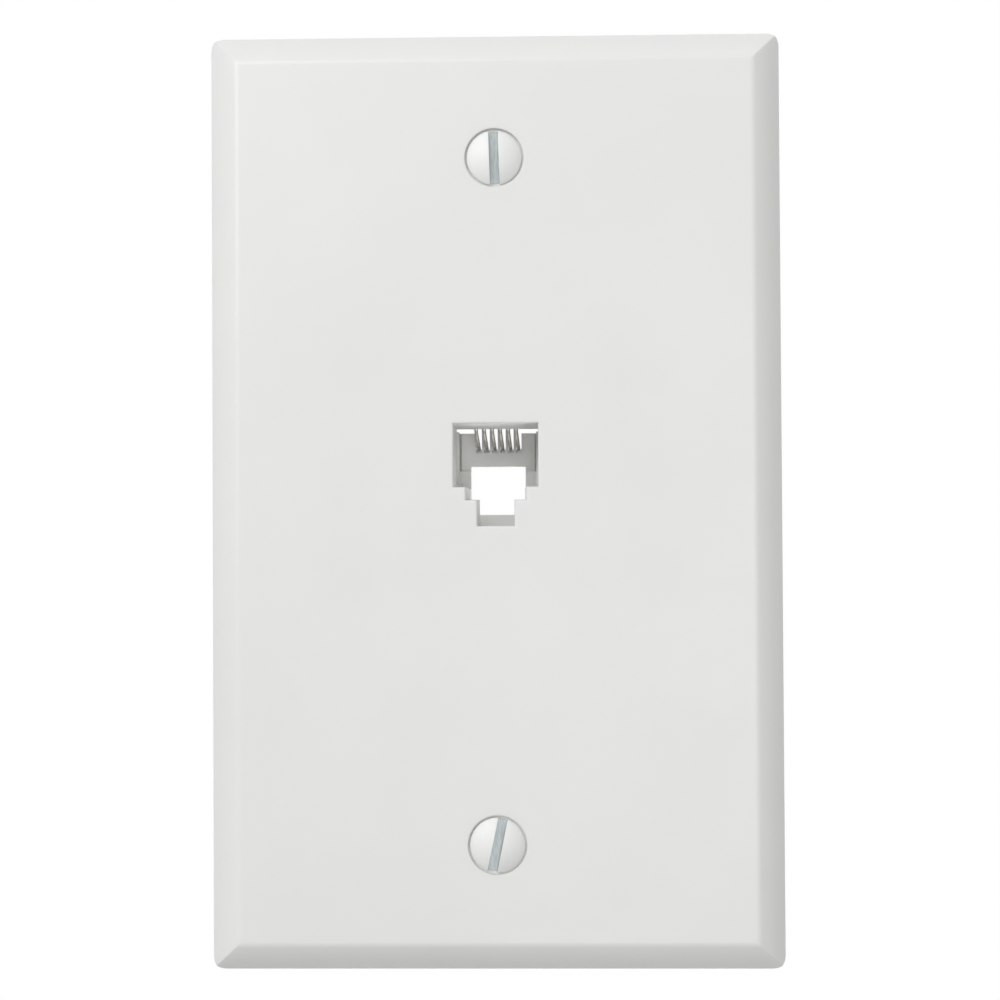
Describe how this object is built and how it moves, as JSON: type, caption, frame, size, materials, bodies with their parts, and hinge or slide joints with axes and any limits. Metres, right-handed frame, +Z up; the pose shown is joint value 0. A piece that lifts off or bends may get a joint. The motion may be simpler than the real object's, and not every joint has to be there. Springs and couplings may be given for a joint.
{
  "type": "telephone wall socket",
  "caption": "One-gang wall plate with a modular telephone jack, for flush mounting on a wall box, wired to screw terminals behind.",
  "frame": {"origin": "middle of the plate's back, in the wall's plane, half way between the two mounting screws", "axes": "+Z up the plate, -Y out of the wall towards the user, +X to the right as seen from the front"},
  "size_m": [0.0698, 0.0193, 0.1142],
  "materials": {
    "plate": "smooth moulded, slightly warm white",
    "screw_paint": "off-white enamel on the head, bare zinc plate in the slot and on the thread",
    "block": "plain moulded",
    "contact": "pale gold plate on round spring wire",
    "lug": "tin plate on copper",
    "washer": "zinc plate",
    "terminal_screw": "nickel-washed brass",
    "lead_white": "soft PVC sleeve",
    "lead_black": "soft PVC sleeve",
    "lead_red": "soft PVC sleeve",
    "lead_green": "soft PVC sleeve",
    "lead_yellow": "soft PVC sleeve",
    "lead_blue": "soft PVC sleeve"
  },
  "bodies": {
    "root": {"wall_plate": "plate", "plate_screw_top": "screw_paint", "plate_screw_bottom": "screw_paint", "contact_block": "block", "contact_wire_1": "contact", "lead_white": "lead_white", "spade_lug_1": "lug", "terminal_washer_1": "washer", "terminal_screw_1": "terminal_screw", "contact_wire_2": "contact", "lead_black": "lead_black", "spade_lug_2": "lug", "terminal_washer_2": "washer", "terminal_screw_2": "terminal_screw", "contact_wire_3": "contact", "lead_red": "lead_red", "spade_lug_3": "lug", "terminal_washer_3": "washer", "terminal_screw_3": "terminal_screw", "contact_wire_4": "contact", "lead_green": "lead_green", "spade_lug_4": "lug", "terminal_washer_4": "washer", "terminal_screw_4": "terminal_screw", "contact_wire_5": "contact", "lead_yellow": "lead_yellow", "spade_lug_5": "lug", "terminal_washer_5": "washer", "terminal_screw_5": "terminal_screw", "contact_wire_6": "contact", "lead_blue": "lead_blue", "spade_lug_6": "lug", "terminal_washer_6": "washer", "terminal_screw_6": "terminal_screw"}
  },
  "joints": []
}
